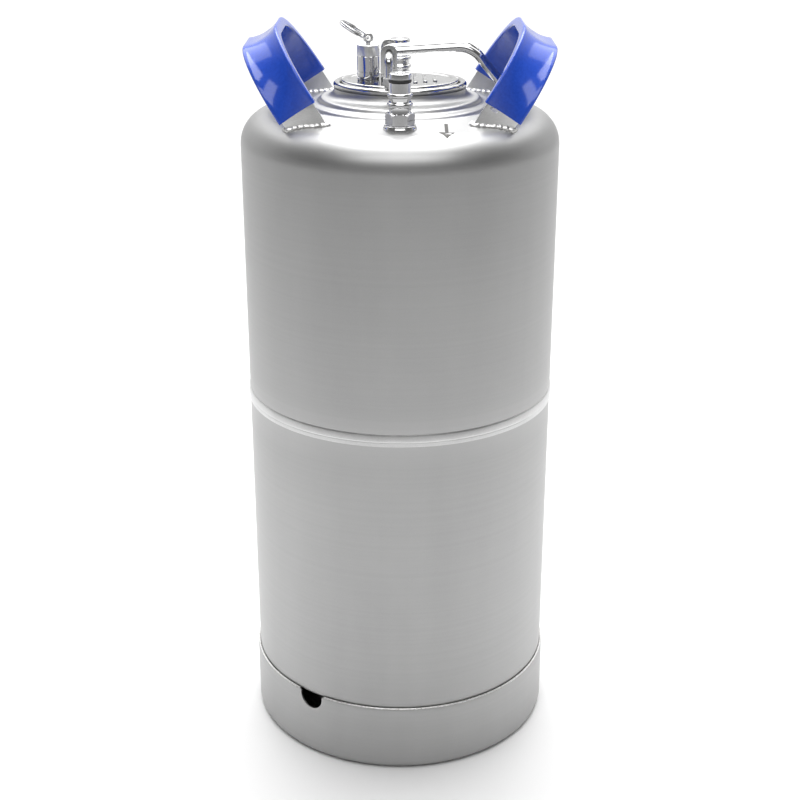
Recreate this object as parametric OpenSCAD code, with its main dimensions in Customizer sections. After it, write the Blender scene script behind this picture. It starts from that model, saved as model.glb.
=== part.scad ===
// Stainless beverage keg with an oval lid, two quick-connect posts and two sleeved handles.
// Units are millimetres. The origin is the centre of the ring that the keg stands on, +Z is up,
// the handles are at +X and -X, the liquid post is at -Y and the gas post at +Y.

/* [Vessel] */
// Outer radius of the vessel's wall
body_r = 148; // [120:1:190]
// Height of the dome's outer edge above the floor
body_h = 624; // [500:1:760]
// Thickness of the drawn sheet
wall = 1.4; // [1:0.1:3]
// Radius of the knuckle at both ends of the vessel
knuckle_r = 30; // [20:1:36]
// Crown radius of the dished bottom
crown_r = 300; // [260:5:420]
// Clearance between the dished bottom and the floor
base_clear = 15; // [10:1:30]
// Rise of the dome from its edge to the first neck ring
dome_rise = 4.5; // [3:0.5:8]
// Share of the vessel's straight wall that lies below the waist seam
waist_share = 0.537; // [0.4:0.001:0.6]

/* [Waist band] */
// Height of the waist band
band_h = 12; // [8:0.5:20]
// How far the waist band stands proud of the wall
band_t = 1.2; // [0.8:0.1:2.5]

/* [Skirt] */
// Thickness of the base skirt
skirt_t = 2; // [1.2:0.1:3]
// Height of the skirt's lap on the vessel's wall
skirt_lap = 4; // [2:0.5:10]
// Radius of the curled foot of the skirt
curl_r = 7; // [5:0.5:10]
// Width of the flat ring that the keg stands on
rest_w = 2.4; // [1.5:0.1:4]
// Radius of the half-round drain notch
notch_r = 13; // [9:0.5:16]
// Straight depth of the notch above its half-round end
notch_drop = 3; // [1:0.5:8]
// Angle of the notch from the front, towards the left handle
notch_angle = 36; // [20:1:60]
// Half-width of the weld that joins the skirt to the vessel
skirt_weld_t = 1.1; // [0.6:0.1:2]

/* [Mouth] */
// Half-length of the oval mouth over its rim
mouth_a = 61.3; // [52:0.1:75]
// Half-width of the oval mouth over its rim
mouth_b = 52.9; // [50:0.1:56]
// Radius of the rolled rim
rim_r = 3.2; // [2.5:0.1:4]
// End radius of the rim's centre line
mouth_end_r = 42; // [34:1:44]
// Height of the rim's centre above the first neck ring's foot
rim_rise = 18.3; // [14:0.1:24]
// Width of the neck from the rim to the second ring
neck_w = 13.2; // [10:0.1:18]
// Width of the flat between the two neck rings
ring_w = 11.5; // [8:0.1:16]
// Height of the first neck ring
ring1_h = 3.2; // [2:0.1:5]
// Height of the second neck ring above the first
ring2_h = 4.4; // [3:0.1:6]
// Thickness of the neck's plate
neck_t = 1.8; // [1.2:0.1:2.5]

/* [Lid] */
// Number of raised ribs across the lid
ribs = 3; // [0:1:4]
// Place of the first rib along X
rib_x = 14; // [10:0.5:18]
// Distance from one rib to the next
rib_pitch = 9; // [6:0.5:10]
// Width of a rib
rib_w = 4; // [2:0.1:5]
// Height of a rib
rib_h = 0.8; // [0.4:0.1:1.5]
// Clearance between the lid's panel and the rim
lid_gap = 1.4; // [1:0.1:2]
// Thickness of the lid's plate
lid_t = 2; // [1.5:0.1:3]
// Height of the lid's panel above the top of the rim
lid_proud = 1.5; // [0.5:0.1:3]
// Radius of the seal's cord
seal_r = 2.5; // [2:0.1:3]
// Width of the flange that carries the seal
flange_w = 4; // [3:0.1:5]
// Gap left at rest between pieces that move against each other
move_gap = 0.3; // [0.2:0.05:0.5]

/* [Bail] */
// Radius of the bail's rod
rod_r = 3.7; // [3:0.1:4.5]
// Height of the bail's shaft above the lid's panel
hinge_rise = 25.5; // [22:0.5:32]
// Place of the bail's shaft along X
hinge_x = -10; // [-12:0.5:-4]
// Half-distance between the bail's two arms
arm_y = 12.5; // [10:0.5:16]
// How much the arms rise to the bend
arm_rise = 4; // [0:0.5:8]
// Slope of the bail's bent end, in degrees
bail_slope = 50; // [35:1:60]
// Radius of the bail's bend
bail_bend_r = 25; // [15:1:35]
// Radius of the feet's caps
foot_r = 5.2; // [4.8:0.1:6]
// Radial clearance of the shaft in the bracket's ears
pin_fit = 0.05; // [0.02:0.01:0.1]
// Thickness of the bracket's ears
ear_t = 3; // [2:0.1:4]
// Thickness of the bracket's base
bracket_t = 2; // [1.5:0.1:3]

/* [Relief valve] */
// Distance of the relief valve's axis behind the bail's shaft
valve_back = 19; // [18.5:0.5:24]
// Outer radius of the relief valve
valve_r = 10.25; // [9:0.25:10.5]
// Height of the relief valve's body
valve_body_h = 21; // [18:0.5:26]
// Height of the relief valve's cap
valve_cap_h = 10; // [8:0.5:12]
// Radius of the relief valve's threaded shank
shank_r = 6.3; // [5.5:0.1:7]
// Length of the shank below the lid's panel
shank_l = 14; // [11:0.5:18]
// Height of the nut under the lid
nut_h = 6; // [4:0.5:7]
// Wall of the nut from the shank to its corners
nut_wall = 3.6; // [2.5:0.1:4]
// Height of the fine groove round the relief valve
valve_line = 6.8; // [4:0.1:12]
// Radius of the pull stem
stem_r = 2.2; // [1.8:0.1:2.6]
// Outer radius of the pull ring
ring_r = 15; // [12:0.5:18]
// Wire radius of the pull ring
ring_wire_r = 0.9; // [0.7:0.05:1.1]
// Tilt of the pull ring above the horizontal, in degrees
ring_tilt = 30; // [0:1:60]

/* [Posts] */
// Radius of the post's barrel
barrel_r = 9.65; // [9.2:0.05:10.2]
// Width of the post's hexagon across its flats
hex_af = 22.2; // [21:0.1:25]
// Height of the post's hexagon
hex_h = 10.4; // [9:0.1:12]
// Height of the post above its boss
post_h = 44; // [42:0.5:50]
// How far the post's seal stands proud of the barrel
oring_proud = 0.15; // [0.05:0.01:0.2]
// Radius of the boss's flange
boss_r = 14; // [12:0.5:16]
// Height of the boss's flange above the dome
boss_rise = 3; // [2:0.5:6]
// Radius of the boss's stub inside the post
stub_r = 7.6; // [7:0.1:8]
// Outer radius of the dip tubes
tube_r = 3.95; // [3:0.05:4.3]
// Wall of the dip tubes
tube_t = 0.75; // [0.5:0.05:1]
// Length of the gas dip tube below its boss
gas_tube_l = 45; // [25:1:80]
// Radius of the poppet's stem
poppet_r = 2.6; // [2.2:0.1:3]
// Small gap between fixed round pieces
fit = 0.1; // [0.05:0.01:0.15]

/* [Handles] */
// Width of the handle strap
strap_w = 32; // [24:0.5:40]
// Thickness of the handle strap
strap_t = 3; // [2:0.1:4]
// Height of the arch along its own plane
arch_h = 76.5; // [65:0.5:95]
// Corner radius of the arch
arch_corner_r = 62; // [40:1:64]
// Tilt of the arch outwards from the vertical, in degrees
arch_tilt = 32.5; // [15:0.5:45]
// Angle of the handle's feet from the X axis, in degrees
foot_angle = 46.4; // [40:0.1:52]
// Thickness of the sleeve's wall
sleeve_t = 2; // [1.5:0.1:3]
// How far the sleeve is wider than the strap, on each side
sleeve_over = 2.5; // [1.5:0.1:4]
// Height of the flared lips on the sleeve's outer face
lip_h = 2.4; // [1:0.1:4]
// Width of the flared lips
lip_w = 3; // [2:0.1:5]
// Height of the bare foot below the sleeve
bare_h = 17; // [8:0.5:24]
// Width of the weld bead round each foot
bead_w = 3.5; // [2:0.1:5]
// Thickness of the weld bead round each foot
bead_h = 2.2; // [1:0.1:3]

/* [Hidden] */
$fn = 96;
far = 400;
cut = 1;
arc_steps = 8;
ball_proud = 0.15;
bead_steps = 4;

// vessel
edge_r = body_r - knuckle_r;
crown_off = sqrt(pow(crown_r - knuckle_r, 2) - pow(edge_r, 2));
knee_z = base_clear + crown_r - crown_off;
seam_z = knee_z - skirt_lap;
straight_top = body_h - knuckle_r;
waist_z = knee_z + (straight_top - knee_z) * waist_share;
crown_z = knee_z + crown_off;
curl_turn = 140;

// neck rings
ring2_r = mouth_a + neck_w;
ring1_r = ring2_r + ring_w;
ring1_z = body_h + dome_rise;
ring2_z = ring1_z + ring1_h;
plate_z = ring2_z + ring2_h;
rim_z = ring1_z + rim_rise;
rim_top = rim_z + rim_r;
shell_in_r = ring1_r - 6;
step_lean = 0.9;
step_soft = 2.2;
step_dip = 0.3;
step_foot = 1.6;
step_edge = 1;

// the rim's centre line: four tangent arcs
line_a = mouth_a - rim_r;
line_b = mouth_b - rim_r;
side_r = (pow(line_a - mouth_end_r, 2) + pow(line_b, 2) - pow(mouth_end_r, 2))
    / (2 * (line_b - mouth_end_r));
end_x = line_a - mouth_end_r;
side_y = side_r - line_b;
meet_angle = atan2(side_y, end_x);

// lid
panel_off = -(rim_r + lid_gap);
panel_z = rim_top + lid_proud;
seal_off = panel_off + seal_r;
seal_z = rim_z - sqrt(pow(rim_r + seal_r + move_gap, 2) - pow(seal_off, 2));
flange_z = seal_z - seal_r;
rib_span = line_a + panel_off + 4.5;
flank_in = seal_off + seal_r + 1.5 * move_gap;

// bail
hinge_z = panel_z + hinge_rise;
leg_y = sqrt(pow(side_r, 2) - pow(hinge_x, 2)) - side_y;
foot_z = rim_top + move_gap + foot_r;
bend_x = line_a - rim_r - 1.9;
ear_r = rod_r + 3.8;
ear_in = arm_y + rod_r + ball_proud + move_gap;
tip_z = ring1_z + rod_r + 9;

bail_bend_z = hinge_z + arm_rise - bail_bend_r;
bail_bend_end = [bend_x + bail_bend_r * sin(bail_slope), bail_bend_z + bail_bend_r * cos(bail_slope)];
bail_run = (bail_bend_end[1] - tip_z) / sin(bail_slope) - arm_y;
bail_root = [bail_bend_end[0] + bail_run * cos(bail_slope), 0,
    bail_bend_end[1] - bail_run * sin(bail_slope)];

// relief valve
valve_x = hinge_x - valve_back;
valve_top = panel_z + valve_body_h;
cap_top = valve_top + valve_cap_h;
eye_hole_r = 2 * ring_wire_r + 0.6;
eye_r = eye_hole_r + 2.2;
eye_z = cap_top + move_gap + 0.6 + eye_r;
valve_floor = 3;
line_d = 0.4;
chamber_r = valve_r - 2.25;
seal_disc_h = 1.8;
disc_z = panel_z + valve_floor + move_gap + seal_disc_h;
disc_h = 2.4;

// posts
hex_corner_r = hex_af / 2 / cos(30);
post_off = max((ring1_r + edge_r) / 2, ring1_r + hex_corner_r + move_gap);
dome_at_post = body_h + dome_rise / 2;
post_z = dome_at_post + boss_rise;
spigot_r = stub_r + 1.2;
spigot_h = 7;
stub_h = 11;
washer_h = 1.8;
tube_lip_h = 1.2;
tube_lip_r = tube_r + 2.2;
chamber_z = stub_h + cut;
seat_z = post_h - 10.7;
poppet_disc_r = tube_lip_r - 0.8;
poppet_disc_h = 3;
poppet_z = seat_z - move_gap - poppet_disc_h;
groove_z = post_h - 6.5;
groove_h = 3.2;
groove_d = 1.6;
bulge_h = 2.2;
bulge_out = 1.4;
tube_in = stub_h + washer_h;

// the liquid dip tube's bend
tube_slope = 50;
tube_bend_r = 60;
tube_end_y = -8;
tube_end_z = base_clear + wall + 5 + tube_r * sin(tube_slope);
tube_bend_y = -post_off + tube_bend_r * (1 - cos(tube_slope));
tube_run = (tube_end_y - tube_bend_y) / sin(tube_slope);
tube_bend_z = tube_end_z + tube_run * cos(tube_slope) + tube_bend_r * sin(tube_slope);

// handles
foot_x = edge_r * cos(foot_angle);
foot_y = edge_r * sin(foot_angle);
sleeve_w = strap_w + 2 * sleeve_over;
leg_low = -knuckle_r;

// ---------- helpers ----------

function unit(v) = v / norm(v);

function left_normal(a, b) = let (d = unit(b - a)) [-d[1], d[0]];

// Points of an arc about c from angle a0 to a1
function arc(c, r, a0, a1, n = arc_steps) =
    [for (i = [0:n]) let (a = a0 + (a1 - a0) * i / n) c + r * [cos(a), sin(a)]];

// The path p moved t to its left, with mitred corners
function shifted(p, t) = [for (i = [0:len(p) - 1])
    let (last = len(p) - 1,
         n0 = left_normal(p[max(i - 1, 0)], p[max(i, 1)]),
         n1 = left_normal(p[min(i, last - 1)], p[min(i + 1, last)]),
         m = unit(n0 + n1))
    p[i] + m * t / (m * n0)];

function reversed(p) = [for (i = [len(p) - 1:-1:0]) p[i]];

// A sheet of thickness t on the left side of the outer path p, turned round Z
module spun_sheet(p, t) {
    inner = [for (q = reversed(shifted(p, t))) [max(q[0], 0), q[1]]];
    rotate_extrude() polygon(concat(p, inner));
}

// A round bar from p to q
module bar(p, q, r) {
    d = q - p;
    translate(p)
        rotate([0, acos(d[2] / norm(d)), atan2(d[1], d[0])])
            cylinder(r = r, h = norm(d));
}

// A rod through the points p, with a ball at each inner corner that stands a hair proud
module bent_rod(p, r) {
    for (i = [0:len(p) - 2]) bar(p[i], p[i + 1], r);
    for (i = [1:len(p) - 2]) translate(p[i]) sphere(r = r + ball_proud);
}

// The oval's area at an offset from the rim's centre line
module oval_area(off) {
    half = end_x + (mouth_end_r + off) * cos(meet_angle);
    for (s = [-1, 1]) translate([s * end_x, 0]) circle(r = mouth_end_r + off);
    intersection() {
        translate([0, -side_y]) circle(r = side_r + off);
        translate([0, side_y]) circle(r = side_r + off);
        square([2 * half, 2 * side_r], center = true);
    }
}

// A slab of the oval ring between two offsets, from z0 to z1
module oval_ring(out, in, z0, z1) {
    translate([0, 0, z0]) linear_extrude(height = z1 - z0) difference() {
        oval_area(out);
        oval_area(in);
    }
}

// A bead of radius r carried round the oval, as nested slabs whose edges lie on its circle
module oval_bead(off, z, r) {
    for (i = [0:bead_steps - 1]) {
        a = 90 * (i + 0.5) / bead_steps;
        oval_ring(off + r * cos(a), off - r * cos(a), z - r * sin(a), z + r * sin(a));
    }
}

// A coil spring from z = 0 to z = h
module coil(r, wire, h, turns) {
    sides = 8;
    per_turn = 14;
    n = turns * per_turn;
    points = [for (i = [0:n]) for (k = [0:sides - 1])
        let (a = 360 * i / per_turn, b = 360 * k / sides, q = r + wire * cos(b),
             z = wire + (h - 2 * wire) * i / n + wire * sin(b))
        [q * cos(a), q * sin(a), z]];
    skin = [for (i = [0:n - 1]) for (k = [0:sides - 1])
        let (k1 = (k + 1) % sides, a = i * sides)
        [a + k, a + k1, a + sides + k1, a + sides + k]];
    start_cap = [[for (k = [0:sides - 1]) sides - 1 - k]];
    end_cap = [[for (k = [0:sides - 1]) n * sides + k]];
    polyhedron(concat(points), concat(skin, start_cap, end_cap), convexity = 8);
}

// ---------- vessel ----------

function dome_path() = concat(
    arc([edge_r, straight_top], knuckle_r, 0, 90),
    [[shell_in_r, body_h + dome_rise * (edge_r - shell_in_r) / (edge_r - ring1_r)]]);

function neck_outline() = [
    [ring1_r, ring1_z],
    [ring1_r - step_lean, ring1_z + ring1_h * 0.7],
    [ring1_r - step_soft, ring2_z - step_dip],
    [ring2_r + step_foot, ring2_z],
    [ring2_r, ring2_z + step_foot / 2],
    [ring2_r - step_lean, plate_z - step_edge],
    [ring2_r - step_lean - 1.5 * step_edge, plate_z]];

// Everything below the vessel's outer surface, from the waist up to the neck's plate
module top_fill() {
    rotate_extrude()
        polygon(concat([[0, waist_z], [body_r, waist_z]], arc([edge_r, straight_top], knuckle_r, 0, 90),
            neck_outline(), [[0, plate_z]]));
}

module post_holes(r) {
    for (s = [-1, 1]) translate([0, s * post_off, body_h - 10]) cylinder(r = r, h = 40);
}

module upper_shell() {
    color("silver") difference() {
        spun_sheet(concat([[body_r, waist_z]], dome_path()), wall);
        post_holes(spigot_r + fit);
    }
}

module lower_shell() {
    base = atan2(knee_z - crown_z, edge_r);
    color("silver")
        spun_sheet(concat(
            arc([0, crown_z], crown_r, -90, base, 2 * arc_steps),
            arc([edge_r, knee_z], knuckle_r, base + 90 / arc_steps, 0),
            [[body_r, waist_z]]), wall);
}

module waist_band() {
    color("gainsboro") rotate_extrude() polygon([
        [body_r + fit / 2, waist_z - band_h / 2],
        [body_r + band_t / 2, waist_z - band_h / 2],
        [body_r + band_t, waist_z - band_h / 2 + band_t],
        [body_r + band_t, waist_z + band_h / 2 - band_t],
        [body_r + band_t / 2, waist_z + band_h / 2],
        [body_r + fit / 2, waist_z + band_h / 2]]);
}

module mouth_neck() {
    foot = neck_w - 1.4;
    steps = 6;
    hole = foot - 2 * neck_t;
    low_z = plate_z - neck_t;
    top = rim_z - rim_r - fit;
    color("silver") {
        difference() {
            rotate_extrude() polygon(concat(neck_outline(), [
                [line_b - 8, plate_z],
                [line_b - 8, low_z],
                [ring2_r - 3.4, low_z],
                [ring2_r - 2.6, ring2_z - neck_t],
                [ring1_r - 3.6, ring2_z - neck_t],
                [ring1_r - 3.9, ring1_z + dome_rise * 3.9 / (edge_r - ring1_r)]]));
            translate([0, 0, low_z - 10]) linear_extrude(height = 20) oval_area(hole);
        }
        // the flank: slabs that follow a quarter of a hollow curve, each lapping the one below
        for (i = [0:steps - 1]) {
            out = foot - (foot - neck_t - flank_in) * sin(90 * i / steps);
            z0 = i == 0 ? low_z : plate_z + (top - plate_z) * (1 - cos(90 * i / steps)) - neck_t / 4;
            z1 = plate_z + (top - plate_z) * (1 - cos(90 * (i + 1) / steps));
            oval_ring(out, max(out - 2 * neck_t, flank_in), z0, z1);
        }
    }
}

module mouth_rim() {
    color("gainsboro") oval_bead(0, rim_z, rim_r);
}

module notch_cut() {
    rotate([0, 0, -90 - notch_angle])
        translate([body_r, 0, seam_z - notch_drop])
            rotate([0, 90, 0]) {
                cylinder(r = notch_r, h = 4 * skirt_t + 2 * curl_r, center = true);
                translate([-far / 2, 0, 0])
                    cube([far, 2 * notch_r, 4 * skirt_t + 2 * curl_r], center = true);
            }
}

module base_skirt() {
    out_r = body_r + fit + skirt_t;
    curl = concat(
        arc([out_r - curl_r - rest_w, curl_r], curl_r, -curl_turn, -90, 5),
        arc([out_r - curl_r, curl_r], curl_r, -90, 0, arc_steps));
    color("silver") difference() {
        spun_sheet(concat(curl, [[out_r, seam_z]]), skirt_t);
        notch_cut();
    }
}

module skirt_weld() {
    half = asin((notch_r + 2) / body_r);
    color("gainsboro")
        rotate([0, 0, -90 - notch_angle + half])
            rotate_extrude(angle = 360 - 2 * half)
                polygon([
                    [body_r + fit / 2, seam_z],
                    [body_r + fit + skirt_t * 0.7, seam_z],
                    [body_r + fit + skirt_t * 0.5, seam_z + skirt_weld_t],
                    [body_r + fit / 2, seam_z + 2 * skirt_weld_t]]);
}

// ---------- handles ----------

// The area under an arch whose legs run down to leg_low
module arch_area(half, top, corner) {
    translate([-half, leg_low]) square([2 * half, top - corner - leg_low]);
    translate([-(half - corner), leg_low]) square([2 * (half - corner), top - leg_low]);
    for (s = [-1, 1]) translate([s * (half - corner), top - corner]) circle(r = corner);
}

// The strip between two arches out and in of the strap's centre line, above the height low
module arch_strip(out, in, low) {
    difference() {
        arch_area(foot_y + out, arch_h + out, arch_corner_r + out);
        arch_area(foot_y - in, arch_h - in, arch_corner_r - in);
        translate([-far, low - far]) square([2 * far, far]);
    }
}

// Carries a drawing in the arch's plane to the right-hand handle's place
module on_handle(width) {
    translate([foot_x, 0, body_h])
        rotate([0, arch_tilt, 0])
            rotate([90, 0, 90])
                linear_extrude(height = width, center = true) children();
}

module strap_solid() {
    on_handle(strap_w) arch_strip(strap_t / 2, strap_t / 2, leg_low);
}

// The locating slot just under the sleeve, in one leg
module strap_slot() {
    translate([foot_x, 0, body_h])
        rotate([0, arch_tilt, 0])
            translate([-strap_w / 2 + 8, -foot_y, bare_h - 4])
                rotate([90, 0, 0]) {
                    for (s = [-1, 1]) translate([s * 2, 0, 0]) cylinder(r = 2, h = 4 * strap_t, center = true);
                    cube([4, 4, 4 * strap_t], center = true);
                }
}

module right_handle_strap() {
    color("silver") difference() {
        strap_solid();
        top_fill();
        strap_slot();
    }
}

module left_handle_strap() {
    color("silver") mirror([1, 0, 0]) difference() {
        strap_solid();
        top_fill();
    }
}

module sleeve_solid() {
    half = strap_t / 2 + sleeve_t;
    difference() {
        on_handle(sleeve_w) arch_strip(half + lip_h, half, bare_h);
        on_handle(sleeve_w - 2 * lip_w) arch_strip(half + lip_h + cut, -half, bare_h - cut);
        on_handle(strap_w + fit) arch_strip((strap_t + fit) / 2, (strap_t + fit) / 2, leg_low);
    }
}

module right_handle_sleeve() {
    color("royalblue") sleeve_solid();
}

module left_handle_sleeve() {
    color("royalblue") mirror([1, 0, 0]) sleeve_solid();
}

module foot_beads() {
    difference() {
        intersection() {
            translate([0, 0, bead_h]) top_fill();
            on_handle(strap_w + 2 * bead_w)
                for (s = [-1, 1])
                    translate([s * foot_y - strap_t / 2 - bead_w, leg_low])
                        square([strap_t + 2 * bead_w, bare_h - leg_low]);
        }
        top_fill();
        on_handle(strap_w + fit) arch_strip((strap_t + fit) / 2, (strap_t + fit) / 2, leg_low - cut);
    }
}

module handle_welds() {
    color("gainsboro") {
        foot_beads();
        mirror([1, 0, 0]) foot_beads();
    }
}

// ---------- posts ----------

// Carries a post's pieces to the boss's flange: side is -1 for liquid, 1 for gas
module at_post(side) {
    translate([0, side * post_off, post_z]) children();
}

module boss(side) {
    difference() {
        union() {
            difference() {
                at_post(side) translate([0, 0, -boss_rise - dome_rise])
                    cylinder(r = boss_r, h = boss_rise + dome_rise);
                top_fill();
            }
            at_post(side) translate([0, 0, -boss_rise - spigot_h])
                cylinder(r = spigot_r, h = boss_rise + spigot_h - fit);
            at_post(side) translate([0, 0, -boss_rise]) cylinder(r = stub_r, h = boss_rise + stub_h);
        }
        at_post(side) translate([0, 0, -far / 2]) cylinder(r = tube_r + fit, h = far);
    }
}

module gas_boss() {
    color("silver") boss(1);
}

module liquid_boss() {
    color("silver") boss(-1);
}

// Half-outline of a post above its hexagon
function post_outline() = concat(
    [[stub_r + fit, 0], [hex_af / 2 - 0.6, 0], [hex_af / 2 - 0.6, hex_h], [barrel_r + 0.2, hex_h + 1.2]],
    arc([barrel_r - bulge_h + bulge_out, hex_h + 7], bulge_h, -75, 75, 6),
    [[barrel_r - 0.5, hex_h + 10.2], [barrel_r - 0.5, hex_h + 11.8]],
    arc([barrel_r - bulge_h + bulge_out, hex_h + 15], bulge_h, -75, 75, 6),
    [[barrel_r, hex_h + 18],
     [barrel_r, groove_z - groove_h / 2], [barrel_r - groove_d, groove_z - groove_h / 2],
     [barrel_r - groove_d, groove_z + groove_h / 2], [barrel_r, groove_z + groove_h / 2],
     [barrel_r, post_h - 0.8], [barrel_r - 0.8, post_h],
     [poppet_r + 1.8, post_h], [poppet_r + 1, post_h - 0.8],
     [poppet_r + 1, seat_z], [tube_lip_r + 0.4, seat_z], [tube_lip_r + 0.4, chamber_z],
     [stub_r + fit, chamber_z]]);

module post_body() {
    rotate_extrude() polygon(post_outline());
    difference() {
        rotate([0, 0, 30]) cylinder(r = hex_corner_r, h = hex_h, $fn = 6);
        translate([0, 0, -cut]) cylinder(r = hex_af / 2 - 1, h = hex_h + 2 * cut);
    }
}

module gas_post_body() {
    color("lightgray") at_post(1) rotate([0, 0, 15]) post_body();
}

module liquid_post_body() {
    color("lightgray") at_post(-1) post_body();
}

module post_oring(side) {
    cord = (groove_d + oring_proud) / 2;
    color("black") at_post(side) rotate_extrude()
        translate([barrel_r + oring_proud - cord, groove_z]) circle(r = cord);
}

module gas_post_oring() {
    post_oring(1);
}

module liquid_post_oring() {
    post_oring(-1);
}

module poppet(side) {
    color("darkgray") at_post(side) {
        translate([0, 0, poppet_z]) cylinder(r = poppet_disc_r, h = poppet_disc_h);
        translate([0, 0, poppet_z - 4]) cylinder(r = 1.6, h = 5);
        translate([0, 0, poppet_z]) cylinder(r = poppet_r, h = post_h - 1 - poppet_z);
    }
}

module gas_poppet() {
    poppet(1);
}

module liquid_poppet() {
    poppet(-1);
}

module poppet_spring(side) {
    low = tube_in + tube_lip_h;
    color("gray") at_post(side) translate([0, 0, low + 0.05])
        coil(poppet_disc_r - 1.2, 0.5, poppet_z - low - 0.1, 6);
}

module gas_poppet_spring() {
    poppet_spring(1);
}

module liquid_poppet_spring() {
    poppet_spring(-1);
}

module tube_seal(side) {
    color("black") at_post(side) translate([0, 0, stub_h])
        difference() {
            cylinder(r = tube_lip_r, h = washer_h);
            translate([0, 0, -cut]) cylinder(r = tube_r + fit, h = washer_h + 2 * cut);
        }
}

module gas_dip_tube_seal() {
    tube_seal(1);
}

module liquid_dip_tube_seal() {
    tube_seal(-1);
}

module gas_dip_tube() {
    low = -boss_rise - gas_tube_l;
    color("silver") at_post(1) difference() {
        union() {
            translate([0, 0, low]) cylinder(r = tube_r, h = tube_in - low);
            translate([0, 0, tube_in]) cylinder(r = tube_lip_r, h = tube_lip_h);
        }
        translate([0, 0, low - cut]) cylinder(r = tube_r - tube_t, h = far);
    }
}

// The liquid tube's centre line: down, a bend, and a slope to the middle of the bottom
function tube_line(extra) = concat(
    [[0, -post_off, post_z + tube_in + tube_lip_h + extra]],
    [for (p = arc([tube_bend_r - post_off, tube_bend_z], tube_bend_r, 180, 180 + tube_slope, 4))
        [0, p[0], p[1]]],
    [[0, tube_end_y + extra * sin(tube_slope), tube_end_z - extra * cos(tube_slope)]]);

module liquid_dip_tube() {
    color("silver") difference() {
        union() {
            bent_rod(tube_line(0), tube_r);
            at_post(-1) translate([0, 0, tube_in]) cylinder(r = tube_lip_r, h = tube_lip_h);
        }
        bent_rod(tube_line(cut), tube_r - tube_t);
    }
}

// ---------- lid ----------

module lid_plate() {
    color("lightgray") difference() {
        union() {
            translate([0, 0, panel_z - lid_t]) linear_extrude(height = lid_t) oval_area(panel_off);
            oval_ring(panel_off, panel_off - lid_t, flange_z - lid_t, panel_z - lid_t / 2);
            oval_ring(panel_off + flange_w, panel_off - lid_t, flange_z - lid_t, flange_z);
            for (i = [0:1:ribs - 1]) {
                x = rib_x + i * rib_pitch;
                translate([x, 0, panel_z - lid_t / 2])
                    linear_extrude(height = lid_t / 2 + rib_h) rib_area(rib_w, rib_span - x);
            }
        }
        translate([valve_x, 0, 0]) cylinder(r = shank_r + fit, h = far * 2);
    }
}

// A rounded raised rib: w wide and l long
module rib_area(w, l) {
    square([w, l - w], center = true);
    for (s = [-1, 1]) translate([0, s * (l - w) / 2]) circle(r = w / 2);
}

module lid_seal() {
    color("black") oval_bead(seal_off, seal_z, seal_r);
}

module bail_bracket() {
    ear_out = ear_in + ear_t;
    color("silver") difference() {
        union() {
            translate([hinge_x - ear_r, -ear_out, panel_z]) cube([2 * ear_r, 2 * ear_out, bracket_t]);
            for (s = [-1, 1])
                translate([hinge_x, s * (ear_in + ear_t / 2), 0])
                    rotate([90, 0, 0]) {
                        translate([0, hinge_z, 0]) cylinder(r = ear_r, h = ear_t, center = true);
                        translate([-ear_r, panel_z, -ear_t / 2]) cube([2 * ear_r, hinge_rise, ear_t]);
                    }
        }
        translate([hinge_x, 0, hinge_z]) rotate([90, 0, 0])
            cylinder(r = rod_r + pin_fit, h = far, center = true);
    }
}

// The bail's centre line on one side, from the foot to its U-shaped end
function bail_side(s) = concat(
    [[hinge_x, s * leg_y, foot_z], [hinge_x, s * leg_y, hinge_z], [hinge_x, s * arm_y, hinge_z]],
    [for (k = [0.25, 0.75])
        let (a = 90 - bail_slope * k, q = bail_bend_r / cos(bail_slope / 4))
        [bend_x + q * cos(a), s * arm_y, bail_bend_z + q * sin(a)]],
    [bail_root + [0, s * arm_y, 0]]);

module bail_handle() {
    color("lightgray") {
        for (s = [-1, 1]) {
            bent_rod(bail_side(s), rod_r);
            translate(bail_root + [0, s * arm_y, 0]) sphere(r = rod_r + ball_proud);
        }
        translate(bail_root)
            rotate([0, bail_slope, 0])
                rotate([0, 0, -90])
                    rotate_extrude(angle = 180)
                        translate([arm_y, 0]) circle(r = rod_r);
    }
}

module bail_feet() {
    color("whitesmoke") for (s = [-1, 1])
        translate([hinge_x, s * leg_y, foot_z]) difference() {
            union() {
                sphere(r = foot_r);
                cylinder(r = foot_r, h = 5);
            }
            cylinder(r = rod_r + fit / 2, h = far);
        }
}

// ---------- relief valve ----------

module at_valve() {
    translate([valve_x, 0, panel_z]) children();
}

module relief_valve_body() {
    color("lightgray") at_valve() rotate_extrude() polygon([
        [shank_r - 2, -shank_l], [shank_r, -shank_l], [shank_r, 0], [valve_r, 0],
        [valve_r, valve_line - line_d], [valve_r - line_d, valve_line], [valve_r, valve_line + line_d],
        [valve_r, valve_body_h],
        [chamber_r, valve_body_h], [chamber_r, valve_floor], [stem_r + 1.2, valve_floor],
        [stem_r + 1.2, 1], [shank_r - 2, 0]]);
}

module relief_valve_cap() {
    color("white") at_valve() rotate_extrude() polygon([
        [stem_r + 0.3, valve_body_h], [valve_r, valve_body_h],
        [valve_r, valve_body_h + valve_cap_h - 0.6], [valve_r - 0.6, valve_body_h + valve_cap_h],
        [stem_r + 0.3, valve_body_h + valve_cap_h]]);
}

module relief_valve_nut() {
    color("silver") at_valve() translate([0, 0, -lid_t - nut_h]) difference() {
        cylinder(r = shank_r + nut_wall, h = nut_h, $fn = 6);
        translate([0, 0, -cut]) cylinder(r = shank_r + fit, h = nut_h + 2 * cut);
    }
}

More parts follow.
